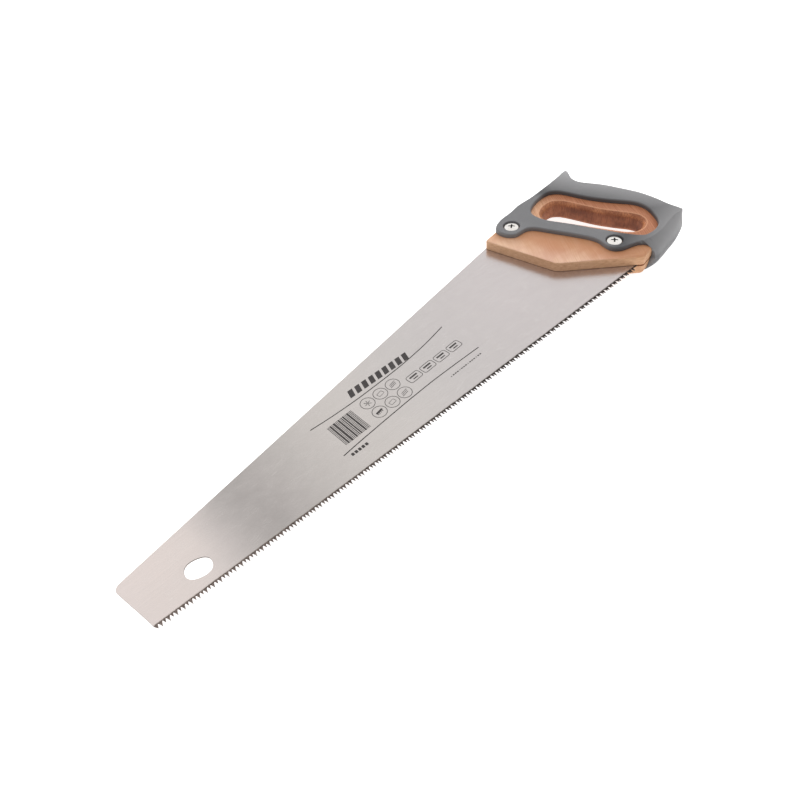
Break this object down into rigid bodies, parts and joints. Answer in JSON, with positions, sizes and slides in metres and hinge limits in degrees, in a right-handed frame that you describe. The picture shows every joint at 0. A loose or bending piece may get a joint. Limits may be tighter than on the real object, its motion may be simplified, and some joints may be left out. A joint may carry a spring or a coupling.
{
  "type": "hand saw",
  "caption": "Hand saw with a tapered toothed blade and a D-shaped wooden handle wrapped in a soft moulded grip, joined by cross-head screws and sleeve nuts.",
  "frame": {"origin": "resting point on the flat outer face of the grip's far side, between the hand opening and the back of the grip; the heel end of the tooth line lies at x -0.056, y -0.094, z 0.013", "axes": "+X runs from the toe to the handle along the tooth line, +Y from the teeth towards the blade's back, +Z is the blade's normal on the screw-head side; the saw lies flat"},
  "size_m": [0.5421, 0.137, 0.026],
  "materials": {
    "blade_steel": "satin rolled sheet, teeth darkened by hardening",
    "beech": "sanded, thin clear lacquer",
    "grip_rubber": "fine matt moulded",
    "nickel": "bright plated"
  },
  "bodies": {
    "root": {"blade": "blade_steel", "handle_core": "beech", "grip_overmould": "grip_rubber", "screw_1": "nickel", "screw_2": "nickel", "sleeve_nut_1": "nickel", "sleeve_nut_2": "nickel"}
  },
  "joints": []
}
